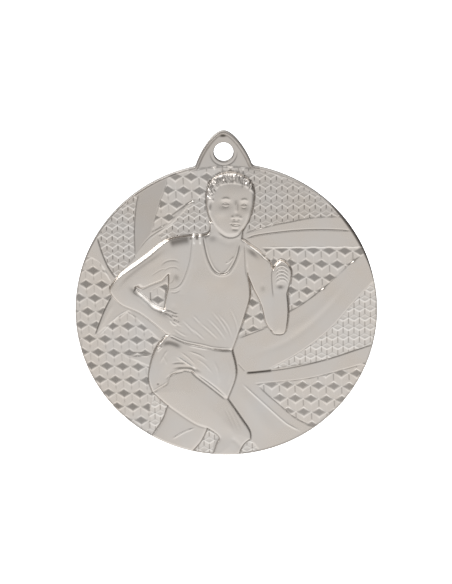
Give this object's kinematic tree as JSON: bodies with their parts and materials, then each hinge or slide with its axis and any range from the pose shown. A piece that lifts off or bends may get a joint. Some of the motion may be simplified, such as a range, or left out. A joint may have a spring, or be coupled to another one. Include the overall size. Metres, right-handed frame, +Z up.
{
  "type": "sports finisher medal",
  "caption": "Round struck sports medal with a running athlete over cube patterns and ribbons, a ring ear on top and a blank label plate in the back.",
  "frame": {"origin": "centre of the ring hole in the ear, midway through the body's thickness", "axes": "+Z up from the disc to the ear, +X to the viewer's right of the struck face, +Y out of the back, so the face looks along -Y"},
  "size_m": [0.05, 0.0026, 0.0555],
  "materials": {
    "struck_silver": "bright struck surface with silver-coloured plating, slightly satin",
    "adhesive_film": "double-sided acrylic film",
    "label_plate": "fine circular brushing, blank"
  },
  "bodies": {
    "root": {"medal_body": "struck_silver", "adhesive_disc": "adhesive_film", "back_plate": "label_plate"}
  },
  "joints": []
}
